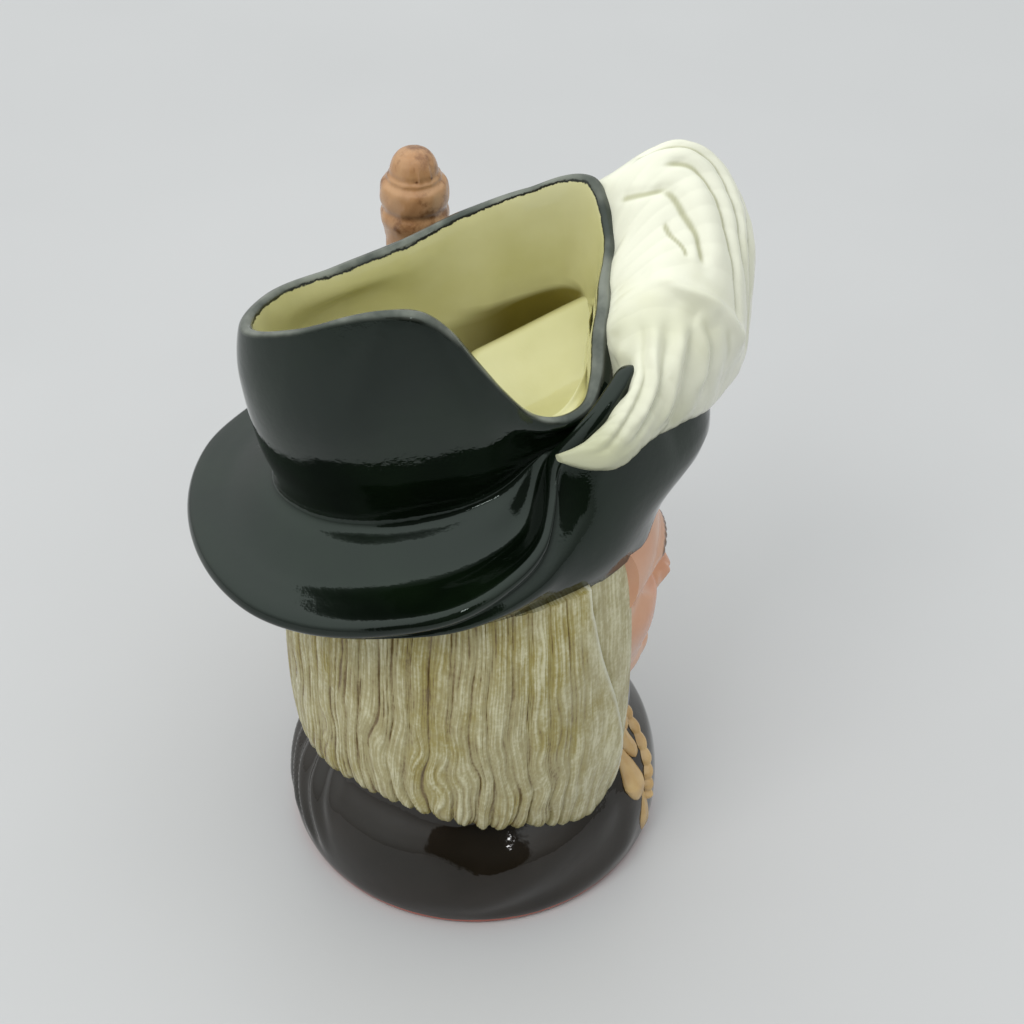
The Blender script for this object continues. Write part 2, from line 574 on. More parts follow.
def make_chamber():
    """The space in the foot and the head, up to a roof under the hat's floor."""
    angle = np.linspace(0, 360, 180, endpoint=False)
    heights = np.concatenate([[6.4, 6.8, 7.4, 8.2], np.linspace(9.5, 93, 44)])
    front = 1 - smooth(aside(angle), 48, 72)
    rows = []
    for height in heights:
        level = np.full_like(angle, height)
        radius = spline(HEAD_HOLLOW, level)[:, 0] - spline(BEHIND_FACE, level)[:, 0] * front
        rows.append(place(angle, radius, height))
    upper = [rows[-1]]
    for ring in (BROW_HOLLOW, BRIM_HOLLOW, ROOF):
        at = spline(ring, angle, closed=True)
        upper.append(place(angle, at[:, 0], at[:, 1], HAT_AXIS))
    for a, b in zip(upper, upper[1:]):
        rows += [a + (b - a) * k / 6 for k in range(1, 7)]
    return loft("hollow", rows, (0, 0, 6.4), (0, HAT_AXIS, 119))


def make_tube():
    """The space in the hat, on down past its floor."""
    angle = np.linspace(0, 360, 300, endpoint=False)
    rim, side = (spline(t, angle, closed=True) for t in (RIM, CROWN_SIDE))
    foot = spline(HOLLOW_FOOT, angle, closed=True)
    wall = side - np.array([WALL, 0])
    lip = lambda inwards, down: rim - np.array([inwards, down])
    below = np.stack([foot[:, 0] - 2, np.full(len(foot), WELL_BOTTOM - 6)], 1)
    curves = [below, foot, (foot + wall) / 2, wall, lip(2 * LIP + 0.2, 6), lip(2 * LIP - 0.35, 1.7),
              lip(LIP + 0.95, 0.35), lip(LIP, -0.05), lip(LIP, -9)]
    rows = [place(angle, row[:, 0], row[:, 1], HAT_AXIS) for row in through(curves, [3, 5, 5, 7, 4, 3, 2, 1])]
    return loft("tube", rows, (0, HAT_AXIS, WELL_BOTTOM - 6), (0, HAT_AXIS, 190))


def ridge_height(y):
    return RIDGE_HEIGHT + RIDGE_SLOPE * (y - RIDGE_Y)


def make_floor():
    """The hat's floor, with its ridge, down into the well at the back."""
    across = np.linspace(-45, 45, 121)
    sections = []
    for y in np.concatenate([[-45], np.linspace(-36, 16, 60), [50]]):
        swell = 0.7 * noise(across / 9, across * 0 + y / 12, 51)
        height = ridge_height(y) + spline(FLOOR, across)[:, 0] + swell
        height = height + (WELL_BOTTOM - height) * smooth(y, WELL_FRONT, WELL_BACK)
        top = np.stack([across, np.full_like(across, y), height], 1)
        sections.append(np.concatenate([[[-45, y, 60]], top, [[45, y, 60]]]))
    return loft("floor", sections, np.mean(sections[0], 0), np.mean(sections[-1], 0))


def make_hollow():
    chamber, tube, bed = make_chamber(), make_tube(), make_floor()
    boolean(tube, bed, "DIFFERENCE")
    boolean(chamber, tube, "UNION")
    for spare in (tube, bed):
        bpy.data.objects.remove(spare)
    return chamber


# ---- plume ----

# Its folds: how high they stand (less than 0 is a groove), how wide they are, and where they run as
# [angle, share of the way round the section], all in millimetres or degrees
PLUME_FOLDS = [
    (-1.1, 0.9, [[-10.5, 0.12], [-8, 0.14], [-4, 0.165], [0, 0.19], [4, 0.205], [8, 0.22]]),
    (0.8, 1.9, [[-12, 0.16], [-7, 0.185], [-2, 0.21], [4, 0.235], [9, 0.25]]),
    (-1.0, 0.8, [[-22, 0.09], [-17, 0.18], [-13, 0.235], [-7, 0.27], [0, 0.31], [5, 0.42]]),
    (-1.0, 0.8, [[-15, 0.13], [-12, 0.185], [-7.5, 0.225], [-1, 0.255], [5, 0.3], [10, 0.36]]),
    (-0.9, 0.75, [[-24, 0.12], [-20, 0.2], [-16, 0.27], [-10, 0.31], [-3, 0.36], [2, 0.46]]),
    (-0.9, 0.75, [[-25, 0.18], [-21, 0.26], [-17, 0.32], [-11, 0.37], [-5, 0.44]]),
    (-0.8, 0.75, [[-27, 0.23], [-23, 0.31], [-19, 0.37], [-13, 0.43], [-9, 0.5]]),
    (-0.7, 0.8, [[-17, 0.04], [-13.5, 0.07], [-11, 0.1], [-9.5, 0.14]]),
    (1.0, 2.4, [[-15, 0.03], [-11.5, 0.07], [-8.5, 0.11]]),
    (-0.45, 0.6, [[-4, 0.13], [0, 0.15], [4, 0.172], [7, 0.18]]),
    (-1.1, 2.6, [[3, 0.04], [7, 0.07], [10, 0.1], [11, 0.14]]),
    (-0.8, 2.2, [[13, 0.27], [15, 0.31], [17, 0.36]]),
    (1.2, 1.3, [[10, 0.12], [12.5, 0.16], [13.5, 0.2], [13, 0.26], [12, 0.32], [10, 0.38], [8, 0.43]]),
    (-1.3, 2.0, [[17, 0.19], [17, 0.24], [16, 0.29]]),
    (-2.4, 5.0, [[4, 0.52], [10, 0.5], [16, 0.5], [20, 0.54]]),
    (-1.4, 6.0, [[-7, 0.52], [0, 0.5], [6, 0.5]]),
    (-0.7, 1.7, [[20, 0.11], [26, 0.13], [38, 0.14], [50, 0.19], [58, 0.3]]),
    (-0.9, 1.9, [[19, 0.16], [24, 0.19], [32, 0.22], [41, 0.28], [49, 0.32]]),
    (-0.95, 2.0, [[18, 0.2], [21, 0.25], [26, 0.31], [30, 0.4], [33, 0.5]]),
    (-0.9, 1.7, [[16, 0.24], [19, 0.34], [21.5, 0.43], [23, 0.49]]),
    (-0.6, 1.6, [[13.5, 0.31], [14, 0.385], [14.5, 0.45]]),
    (1.0, 2.2, [[20, 0.135], [28, 0.165], [40, 0.2], [48, 0.25]]),
    (1.0, 2.2, [[20, 0.2], [27, 0.25], [34, 0.33], [38, 0.42]]),
    (0.9, 2.0, [[17.5, 0.27], [22, 0.36], [25, 0.45]]),
    (-0.9, 1.3, [[-9, 0.3], [-3, 0.34], [1, 0.4], [3, 0.5]]),
    (-1.1, 1.6, [[-30, 0.12], [-34, 0.22], [-40, 0.3], [-48, 0.36]]),
    (-1.1, 1.6, [[-27, 0.24], [-31, 0.34], [-38, 0.42], [-46, 0.47]]),
    (-1.0, 1.5, [[-24, 0.34], [-27, 0.44], [-32, 0.52]]),
]


def from_line(points, line):
    """Distance from each point to a line through rows of [across, along]."""
    best = np.full(points.shape[:-1], 1e9)
    for a, b in zip(line[:-1], line[1:]):
        way = b - a
        t = np.clip(((points - a) @ way) / (way @ way), 0, 1)
        best = np.minimum(best, np.linalg.norm(points - a - t[..., None] * way, axis=-1))
    return best


def make_plume():
    along = np.linspace(0, 1, PLUME_STEPS + 1)
    angle = PLUME_ENDS[0] + (PLUME_ENDS[1] - PLUME_ENDS[0]) * along
    strands = np.stack([spline(rows, angle) for rows in PLUME.values()], 1)  # step, strand, (radius, height)
    sections, girth = [], []
    for i in range(PLUME_STEPS + 1):
        key = np.concatenate([strands[i], strands[i, :1]])
        t = np.concatenate([[0], np.cumsum(np.linalg.norm(np.diff(key, axis=0), axis=1))])
        line = np.column_stack([t, key])
        closed_line = np.concatenate([line[-3:-1] - [[t[-1], 0, 0]], line, line[1:3] + [[t[-1], 0, 0]]])
        outline = spline(closed_line, np.linspace(0, t[-1], PLUME_COLUMNS, endpoint=False))
        sections.append(place(angle[i], outline[:, 0], outline[:, 1], HAT_AXIS))
        girth.append(t[-1])
    sections = np.array(sections)
    du = np.gradient(sections, axis=0)
    dv = (np.roll(sections, -1, 1) - np.roll(sections, 1, 1)) / 2
    normal = np.cross(du, dv)
    normal /= np.maximum(np.linalg.norm(normal, axis=2, keepdims=True), 1e-9)
    if np.sum(normal * (sections - sections.mean(1, keepdims=True))) < 0:
        normal = -normal
    u, v = np.meshgrid(angle, np.arange(PLUME_COLUMNS) / PLUME_COLUMNS, indexing="ij")
    scale = np.array([math.radians(PLUME_REACH), np.mean(girth)])
    wander = [0.6 * noise(u / 8, v * 9, seed) for seed in (31, 32)]
    spot = np.stack([u * scale[0] + wander[0], v * scale[1] + wander[1]], -1)
    lift, groove = np.zeros_like(u), np.zeros_like(u)
    for stand, wide, line in PLUME_FOLDS:
        knots = np.array(line, float)
        t = np.linspace(0, len(knots) - 1, 8 * len(knots))
        path = spline(np.column_stack([np.arange(len(knots)), knots]), t) * scale
        ends = np.minimum(np.linalg.norm(spot - path[0], axis=-1), np.linalg.norm(spot - path[-1], axis=-1))
        near = np.exp(-((from_line(spot, path) / wide) ** 2))
        taper = 0.2 + 0.8 * smooth(ends, 0, 3 * wide)
        lift += stand * near * taper
        groove = np.maximum(groove, (stand < 0) * min(1, 1 / wide ** 1.5) * near ** 2 * taper)
    flow = u * 0.23 + 4.2 * v + 0.5 * np.sin(u / 9 + 5 * v)
    barb = np.abs(np.sin(np.pi * flow)) ** 0.8 - 0.6
    fade = smooth(along, 0, 0.1)[:, None] * (1 - smooth(along, 0.9, 1))[:, None]
    seen = smooth(v, 0.0, 0.06) * (1 - smooth(v, 0.6, 0.72))
    torn = np.exp(-(((v - 0.03) / 0.03) ** 2)) * 0.7 * noise(u / 4.5, v * 6, 37)
    lift = lift + 0.14 * barb * seen + torn
    sections = sections + normal * (lift * fade)[..., None]
    plume = loft("plume", sections, sections[0].mean(0), sections[-1].mean(0))
    depth = np.zeros(len(plume.data.vertices))
    depth[:groove.size] = groove.ravel()
    attribute(plume, "groove", depth)
    return plume


# ---- handle ----


def pair(offset, apart, wide):
    """Two ridges, one to each side."""
    return np.exp(-(((offset - apart) / wide) ** 2)) + np.exp(-(((offset + apart) / wide) ** 2))


def make_handle():
    knots = np.array(POST_PATH, float)
    t = np.concatenate([[0], np.cumsum(np.linalg.norm(np.diff(knots, axis=0), axis=1))])
    rows = np.column_stack([t, knots])
    at = np.linspace(0, t[-1], 150)
    path = spline(rows, at)
    way = np.gradient(path, axis=0)
    way /= np.linalg.norm(way, axis=1, keepdims=True)
    turn = np.linspace(0, 2 * np.pi, 64, endpoint=False)
    sections = []

    def ring(x, z, dx, dz, radius):
        out, aside = radius * np.cos(turn), radius * np.sin(turn)
        return np.stack([x + dz * out, POST_Y + aside, z - dx * out], 1)

    for (x, z), (dx, dz), run in zip(path, way, at):
        bead = 0.75 * np.exp(-(((run + 17) % 34 - 17) / 1.6) ** 2) * (run > 20) * (run < t[-1] - 20)
        grain = 0.14 * np.sin(turn * 9 + run / 13) + 0.08 * np.sin(turn * 17 - run / 7)
        sections.append(ring(x, z, dx, dz, POST_RADIUS + bead + grain))
    downs = np.concatenate([np.linspace(22.8, 0.6, 84), [0.35, 0.15, 0.05]])
    for down in downs:
        radius = spline(POST_HEAD, np.array([down]))[0, 0] if down >= 0.6 else 3.1 * math.sqrt(down / 0.6)
        dome = smooth(np.array(down), 0.2, 1.2) * (1 - smooth(np.array(down), 5.7, 6.3))
        facing = (np.degrees(turn) - STRAP_TURN + 180) % 360 - 180
        offset = np.radians(facing) * radius
        strap = 0.35 * pair(offset, 1.3, 0.5) - 0.25 * pair(offset, 2.2, 0.4)
        strap = strap * dome * (np.abs(facing) < 80)
        bead = 0.35 * math.exp(-(((down - 6.5) / 0.45) ** 2)) - 0.25 * math.exp(-(((down - 7.6) / 0.5) ** 2))
        grain = 0.07 * np.sin(turn * 11 + down * 0.8) * (1 - dome)
        sections.append(ring(POST_PATH[-1][0], POST_TOP - down, 0, 1, radius + strap + bead + grain))
    start, end = np.mean(sections[0], 0), (POST_PATH[-1][0], POST_Y, POST_TOP)
    return loft("handle", sections, start, end)


# ---- braid ----


def strip(name, side, heights, angles, half, proud, groove=0.0):
    """A rounded strip on the coat, through angles at heights, with its half width and how proud it stands."""
    turn = np.linspace(0, 2 * np.pi, 24, endpoint=False)
    reach = spline(COAT, heights)[:, 0]
    rows = []
    for z, turned, out, w, h in zip(heights, angles, reach, half, proud):
        across = w * np.cos(turn)
        vein = groove * np.exp(-((across / 0.5) ** 2)) * (np.sin(turn) > 0)
        radius = out - 0.8 + (h + 0.8) * np.sin(turn) - vein
        rows.append(place(side * (turned + np.degrees(across / out)), radius, z + 0.3 * across))
    return loft(name, rows, np.mean(rows[0], 0), np.mean(rows[-1], 0))


def make_braid(side):
    """A plaited cord down the edge of the coat, with leaves laid beside it and a tongue below."""
    up = np.linspace(13, 34, 120)
    plait = np.abs(np.sin(np.pi * (up - 13) / 2.7))
    ends = np.sqrt(np.clip(np.minimum((up - 13) / 1.5, (34 - up) / 2), 0.03, 1))
    path = spline(BRAID_PATH, up)[:, 0] - 1.5
    whole = strip("braid", side, up, path, (1.6 + 0.5 * plait) * ends, (1.2 + 0.6 * plait) * ends)
    for (low, tip), (high, root), wide, thick in LEAVES:
        t = np.linspace(0, 1, 50)
        ends = np.sqrt(np.clip(np.minimum(t / 0.3, (1 - t) / 0.6), 0.03, 1))
        leaf = strip("leaf", side, low + (high - low) * t, tip + (root - tip) * t, wide * ends,
                     (thick - 0.5 * t) * ends, 0.3)
        boolean(whole, leaf, "UNION")
        bpy.data.objects.remove(leaf)
    return whole


# ---- paint ----


class Paint:
    """One node material, with short names for the nodes that the glazes share."""

    def __init__(self, name):
        self.material = bpy.data.materials.new(name)
        self.material.use_nodes = True
        self.nodes, self.links = self.material.node_tree.nodes, self.material.node_tree.links
        self.shader = self.nodes["Principled BSDF"]
        self.where = self.nodes.new("ShaderNodeTexCoord").outputs["Object"]

    def put(self, value, socket):
        if isinstance(value, bpy.types.NodeSocket):
            self.links.new(value, socket)
        else:
            socket.default_value = value

    def noise(self, scale, detail=3.0, rough=0.5, stretch=None):
        node = self.nodes.new("ShaderNodeTexNoise")
        node.inputs["Scale"].default_value = scale
        node.inputs["Detail"].default_value = detail
        node.inputs["Roughness"].default_value = rough
        where = self.where
        if stretch:
            mapping = self.nodes.new("ShaderNodeMapping")
            mapping.inputs["Scale"].default_value = stretch
            self.links.new(where, mapping.inputs["Vector"])
            where = mapping.outputs["Vector"]
        self.links.new(where, node.inputs["Vector"])
        return node.outputs["Fac"]

    def attribute(self, name):
        node = self.nodes.new("ShaderNodeAttribute")
        node.attribute_name = name
        return node.outputs["Fac"]

    def maths(self, operation, a, b):
        node = self.nodes.new("ShaderNodeMath")
        node.operation = operation
        for value, socket in zip((a, b), node.inputs):
            self.put(value, socket)
        return node.outputs[0]

    def stir(self, value, cloud, amount):
        """The value, moved up and down by a noise whose middle is 0.5."""
        return self.maths("ADD", value, self.maths("MULTIPLY", self.maths("SUBTRACT", cloud, 0.5), amount))

    def ramp(self, value, low, high, flip=False):
        node = self.nodes.new("ShaderNodeMapRange")
        node.interpolation_type = "SMOOTHSTEP"
        self.put(value, node.inputs["Value"])
        node.inputs["From Min"].default_value = low
        node.inputs["From Max"].default_value = high
        node.inputs["To Min"].default_value = 1.0 if flip else 0.0
        node.inputs["To Max"].default_value = 0.0 if flip else 1.0
        return node.outputs["Result"]

    def mix(self, amount, a, b):
        node = self.nodes.new("ShaderNodeMix")
        node.data_type = "RGBA"
        self.put(amount, node.inputs["Factor"])
        for value, socket in ((a, node.inputs["A"]), (b, node.inputs["B"])):
            self.put((*value, 1.0) if isinstance(value, tuple) else value, socket)
        return node.outputs["Result"]

    def finish(self, colour, rough, height=None, strength=1.0, distance=0.0002):
        self.put(colour, self.shader.inputs["Base Color"])
        self.put(rough, self.shader.inputs["Roughness"])
        self.shader.inputs["IOR"].default_value = 1.52
        if height is not None:
            node = self.nodes.new("ShaderNodeBump")
            node.inputs["Distance"].default_value = distance
            node.inputs["Strength"].default_value = strength
            self.links.new(height, node.inputs["Height"])
            self.links.new(node.outputs["Normal"], self.shader.inputs["Normal"])
        return self.material


BLACK = (0.0016, 0.0032, 0.0016)
BROWN_BLACK = (0.007, 0.005, 0.002)
CREAM = (0.60, 0.57, 0.27)
LIGHT_CREAM = (0.70, 0.67, 0.38)
OLIVE = (0.16, 0.13, 0.022)
WHITE = (0.84, 0.84, 0.70)
SKIN = (0.66, 0.33, 0.19)
ROSE = (0.60, 0.19, 0.10)
TAN = (0.50, 0.31, 0.12)
SCARLET = (0.36, 0.06, 0.03)
POST = (0.42, 0.21, 0.09)
GREY = (0.22, 0.22, 0.24)


def lining_colour(p):
    cloud = p.noise(28, 4)
    colour = p.mix(p.ramp(cloud, 0.35, 0.7), CREAM, LIGHT_CREAM)
    return p.mix(p.attribute("crease"), colour, OLIVE)


def paint_lining():
    p = Paint("lining_glaze")
    return p.finish(lining_colour(p), 0.3, p.noise(90, 2), 0.5)


def paint_hat():
    p = Paint("black_glaze")
    lip = p.attribute("lip")
    ragged = p.stir(lip, p.noise(420, 5, 0.7), 1.6)
    base = p.mix(p.ramp(p.noise(45, 4), 0.3, 0.75), BLACK, (0.004, 0.0085, 0.0035))
    streak = p.noise(330, 4, stretch=(0.25, 0.25, 0.25))
    thin = p.mix(p.ramp(streak, 0.35, 0.68), (0.035, 0.04, 0.034), (0.20, 0.21, 0.18))
    worn = p.mix(p.ramp(lip, -2.4, -0.9), base, thin)
    line = p.mix(p.ramp(ragged, 1.35, 1.6), worn, (0.02, 0.02, 0.016))
    colour = p.mix(p.ramp(ragged, 1.85, 2.05), line, lining_colour(p))
    p.shader.inputs["Specular Tint"].default_value = (0.86, 1.0, 0.93, 1)
    return p.finish(colour, 0.045, p.noise(60, 6, 0.62), 0.42, 0.0006)


def paint_hair():
    p = Paint("hair_glaze")
    groove = p.attribute("groove")
    cloud = p.noise(34, 5, 0.6, stretch=(1, 1, 0.45))
    fleck = p.noise(360, 5, 0.65, stretch=(1, 1, 0.3))
    grain = p.noise(900, 3, 0.6)
    wash = p.stir(p.stir(p.stir(groove, cloud, 0.7), fleck, 1.1), grain, 0.5)
    patch = p.noise(55, 4, 0.6, stretch=(1, 1, 0.5))
    olive = p.mix(p.ramp(patch, 0.46, 0.62), (0.40, 0.35, 0.17), (0.34, 0.28, 0.075))
    colour = p.mix(p.ramp(wash, -0.22, 0.36), (0.68, 0.65, 0.43), olive)
    colour = p.mix(p.ramp(wash, 0.34, 0.78), colour, (0.19, 0.13, 0.045))
    colour = p.mix(p.ramp(wash, 0.8, 1.2), colour, (0.09, 0.05, 0.02))
    colour = p.mix(p.ramp(p.noise(75, 3, 0.6), 0.735, 0.8), colour, (0.32, 0.17, 0.05))
    colour = p.mix(p.attribute("edge"), colour, (0.74, 0.74, 0.60))
    return p.finish(colour, 0.2, p.noise(700, 3, 0.6, stretch=(1, 1, 0.2)), 0.35)


def paint_plume():
    p = Paint("plume_glaze")
    shade = p.maths("MULTIPLY", p.attribute("lower"), p.ramp(p.noise(30, 3), 0.2, 0.8))
    colour = p.mix(shade, WHITE, (0.52, 0.53, 0.34))
    colour = p.mix(p.ramp(p.noise(45, 3), 0.5, 0.8), colour, (0.70, 0.70, 0.52))
    colour = p.mix(p.ramp(p.attribute("groove"), 0.15, 1.0), colour, (0.50, 0.50, 0.33))
    return p.finish(colour, 0.2, p.noise(150, 3), 0.3)


def paint_face():
    p = Paint("skin_glaze")
    colour = p.mix(p.ramp(p.noise(60, 4), 0.3, 0.8), SKIN, (0.72, 0.42, 0.27))
    colour = p.mix(p.attribute("rosy"), colour, ROSE)
    colour = p.mix(p.attribute("brown"), colour, (0.09, 0.045, 0.02))
    colour = p.mix(p.attribute("eye_white"), colour, (0.80, 0.79, 0.72))
    colour = p.mix(p.attribute("iris"), colour, (0.10, 0.16, 0.20))
    colour = p.mix(p.attribute("pupil"), colour, (0.008, 0.008, 0.008))
    return p.finish(colour, 0.2, p.noise(220, 3), 0.25)


def paint_stock():
    p = Paint("stock_glaze")
    colour = p.mix(p.ramp(p.noise(70, 4), 0.3, 0.7), GREY, (0.32, 0.32, 0.34))
    colour = p.mix(p.attribute("skin"), colour, SKIN)
    return p.finish(colour, 0.15, p.noise(120, 2), 0.3)


def paint_coat():
    p = Paint("coat_glaze")
    base = p.mix(p.ramp(p.noise(35, 4), 0.3, 0.75), BROWN_BLACK, (0.016, 0.011, 0.007))
    base = p.mix(p.attribute("under"), base, (0.55, 0.50, 0.38))
    ragged = p.stir(p.attribute("edge"), p.noise(180, 4), 1.2)
    colour = p.mix(p.ramp(ragged, 1.7, 2.3, flip=True), base, SCARLET)
    return p.finish(colour, 0.05, p.noise(42, 5, 0.55), 0.5, 0.0008)


def paint_braid():
    p = Paint("braid_glaze")
    colour = p.mix(p.ramp(p.noise(160, 4), 0.3, 0.75), (0.62, 0.43, 0.20), TAN)
    colour = p.mix(p.ramp(p.attribute("groove"), 0.35, 1.0), colour, (0.28, 0.12, 0.035))
    return p.finish(colour, 0.2, p.noise(300, 2), 0.3)


def paint_handle():
    p = Paint("post_glaze")
    streak = p.noise(120, 5, 0.65, stretch=(1, 1, 0.25))
    colour = p.mix(p.ramp(streak, 0.35, 0.75), (0.52, 0.30, 0.15), POST)
    colour = p.mix(p.ramp(p.noise(110, 5, 0.65), 0.47, 0.66), colour, (0.19, 0.08, 0.03))
    colour = p.mix(p.ramp(p.attribute("groove"), 0.1, 0.8), colour, (0.10, 0.035, 0.014))
    return p.finish(colour, 0.2, p.noise(400, 3, stretch=(1, 1, 0.3)), 0.4)


# ---- assembly ----

SHARP_ANGLE = 48
FACE_ON_HOLLOW, POINT_ON_HOLLOW = 0.00008, 0.00005


def dress(piece, material):
    piece.data.validate()
    piece.data.materials.clear()
    piece.data.materials.append(material)
    piece.data.polygons.foreach_set("use_smooth", np.ones(len(piece.data.polygons), bool))
    piece.data.set_sharp_from_angle(angle=math.radians(SHARP_ANGLE))


def on_hollow(points, within):
    """Whether each of some points, in metres, lies on the hollow's skin."""
    found = (hollow_tree.find_nearest(Vector(point.tolist()), within)[0] for point in points)
    return np.array([spot is not None for spot in found])


def line_inside(piece, lining):
    """Gives the faces that the hollow cut the lining's glaze."""
    piece.data.materials.append(lining)
    centres = np.empty(len(piece.data.polygons) * 3, np.float32)
    piece.data.polygons.foreach_get("center", centres)
    inner = on_hollow(centres.reshape(-1, 3), FACE_ON_HOLLOW)
    piece.data.polygons.foreach_set("material_index", inner.astype(np.int32))


def drop_scraps(piece, smallest=200):
    """Deletes the loose scraps that the cuts left, of fewer faces than smallest."""
    mesh = bmesh.new()
    mesh.from_mesh(piece.data)
    seen, scraps = set(), []
    for face in mesh.faces:
        if face in seen:
            continue
        seen.add(face)
        part = [face]
        for reached in part:
            beside = {other for edge in reached.edges for other in edge.link_faces} - seen
            seen |= beside
            part += beside
        if len(part) < smallest:
            scraps += part
    bmesh.ops.delete(mesh, geom=scraps, context="FACES")
    mesh.to_mesh(piece.data)
    mesh.free()


def hollows(piece, reach):
    """How far each point of a piece lies below its neighbours, as a share of reach in millimetres."""
    at = points_of(piece)
    edges = np.empty(len(piece.data.edges) * 2, np.int32)
    piece.data.edges.foreach_get("vertices", edges)
    edges = edges.reshape(-1, 2)
    soft = at.copy()
    count = np.bincount(edges.ravel(), minlength=len(at))[:, None]
    for _ in range(24):
        total = np.zeros_like(soft)
        np.add.at(total, edges[:, 0], soft[edges[:, 1]])
        np.add.at(total, edges[:, 1], soft[edges[:, 0]])
        soft = 0.5 * soft + 0.5 * total / np.maximum(count, 1)
    normal = np.empty(len(at) * 3, np.float32)
    piece.data.vertices.foreach_get("normal", normal)
    below = np.einsum("ij,ij->i", soft - at, normal.reshape(-1, 3))
    return np.clip(below / reach, 0, 1)


# ---- what the glazes follow, as attributes of the finished pieces ----


def mark_hat(hat):
    """How far each point lies from the lip, less than 0 outside, and the stain along the floor's ridge."""
    at = points_of(hat)
    angle, radius, height = polar(at, HAT_AXIS)
    rim = spline(RIM, angle, closed=True)
    near = np.hypot(radius - (rim[:, 0] - LIP), height - rim[:, 1])
    inner = on_hollow(at * MM + AXIS, POINT_ON_HOLLOW)
    attribute(hat, "lip", np.where(inner, near, -near))
    above = at[:, 2] - ridge_height(at[:, 1]) - 0.06 * (at[:, 1] + 30)
    crease = (1 - smooth(above, -0.2, 1.9)) * smooth(at[:, 0], 12, 16) * smooth(-at[:, 1], -16, 16)
    attribute(hat, "crease", crease * inner)


def mark_hair(hair):
    """The grooves between the strands, and the pale edges of the bob and of the layer that laps over."""
    angle, radius, height = polar(points_of(hair))
    fine, lock = hair_groove(angle, height)
    attribute(hair, "groove", (0.35 + 0.65 * hair_calm(angle)) * (0.8 * fine + 0.35 * lock))
    side = aside(angle)
    edge = spline(mirrored(HAIR_EDGE), angle, closed=True)[:, 0]
    hair_end = 1 - smooth(height - edge, -0.5, 1.0)
    flap_end = np.exp(-(((side - spline(FLAP_EDGE, height)[:, 0] - 1.1) / 0.9) ** 2))
    attribute(hair, "edge", 0.8 * np.maximum(hair_end, flap_end) * smooth(side, HAIR_FRONT, 50))


def mark_plume(plume):
    angle, radius, height = polar(points_of(plume), HAT_AXIS)
    attribute(plume, "lower", smooth((angle + 180) % 360 - 180, 8, 26))


def mark_coat(coat):
    """The height over the foot, for the line along it, and the bare clay underneath."""
    at = points_of(coat)
    out = np.hypot(at[:, 0], at[:, 1])
    recessed = (out < FOOT_RECESS_RADIUS + 0.2) & (at[:, 2] < FOOT_RECESS_DEPTH + 0.1)
    under = recessed | (at[:, 2] < 0.05)
    attribute(coat, "edge", np.where(under, 5, at[:, 2]))
    attribute(coat, "under", under)


def mark_face(face):
    at = points_of(face)
    side, up = np.abs(at[:, 0]), at[:, 2]
    cheek = 0.45 * bump(side - 18, up - (EYE - 13), 12, 10)
    lips = smooth(bump(side, up - MOUTH, 11.5, 5.2), 0.25, 0.5) * 0.8
    tip = 0.3 * bump(side, up - (NOSE + 3), 9, 8)
    attribute(face, "rosy", np.clip(cheek + lips + tip, 0, 1))
    strip = np.exp(-((up - eyebrow(side)) / 1.6) ** 2) * smooth(side, 3.5, 6) * (1 - smooth(side, 18.5, 21.5))
    across, upper, lower = eyelids(side)
    lash = np.exp(-((up - upper) / 0.45) ** 2) * (across < 1.05)
    attribute(face, "brown", np.clip(smooth(strip, 0.25, 0.6) * 0.9 + lash, 0, 1))
    opened = smooth(up, lower, lower + 0.35) * (1 - smooth(up, upper - 0.35, upper)) * (across < 0.98)
    attribute(face, "eye_white", opened)
    from_pupil = np.hypot(side - EYE_ASIDE, up - EYE - 0.4)
    attribute(face, "iris", opened * (1 - smooth(from_pupil, 2.2, 2.5)))
    attribute(face, "pupil", opened * (1 - smooth(from_pupil, 0.9, 1.2)))


# ---- the pieces, cut, glazed and marked ----

coat, neck, hair, face, hat, plume, handle = (make() for make in (
    make_coat, make_neck, make_hair, make_face, make_hat, make_plume, make_handle))
braids = [make_braid(1), make_braid(-1)]
hollow = make_hollow()
graph = bpy.context.evaluated_depsgraph_get()
hollow_tree = BVHTree.FromObject(hollow, graph)

# Each piece is cut by those named with it and by the hollow, so that no two fill the same wall
cutters = ((face, (hair, hat)), (neck, (coat, hair, face)), (plume, (hat,)), (handle, (hat, hair, coat)),
           (braids[0], (coat,)), (braids[1], (coat,)), (hair, (coat, hat)), (coat, ()), (hat, ()))
for piece, others in cutters:
    for other in others:
        boolean(piece, other, "DIFFERENCE")
    boolean(piece, hollow, "DIFFERENCE")
bpy.data.objects.remove(hollow)
for piece in (neck, *braids):
    drop_scraps(piece)

looks = {coat: paint_coat(), neck: paint_stock(), hair: paint_hair(), face: paint_face(), hat: paint_hat(),
         plume: paint_plume(), handle: paint_handle(), braids[0]: paint_braid()}
looks[braids[1]] = looks[braids[0]]
for piece, material in looks.items():
    dress(piece, material)

lining = paint_lining()
for piece in (coat, neck, hair, face):
    line_inside(piece, lining)

mark_hat(hat)
mark_hair(hair)
mark_plume(plume)
for braid in braids:
    attribute(braid, "groove", hollows(braid, 0.35))
attribute(handle, "groove", hollows(handle, 0.14))
mark_coat(coat)
attribute(neck, "skin", smooth(points_of(neck)[:, 2], 46, 46.8))
mark_face(face)

for piece in looks:
    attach(piece, "root")
    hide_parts("toby_jug")

# ---- stage ----

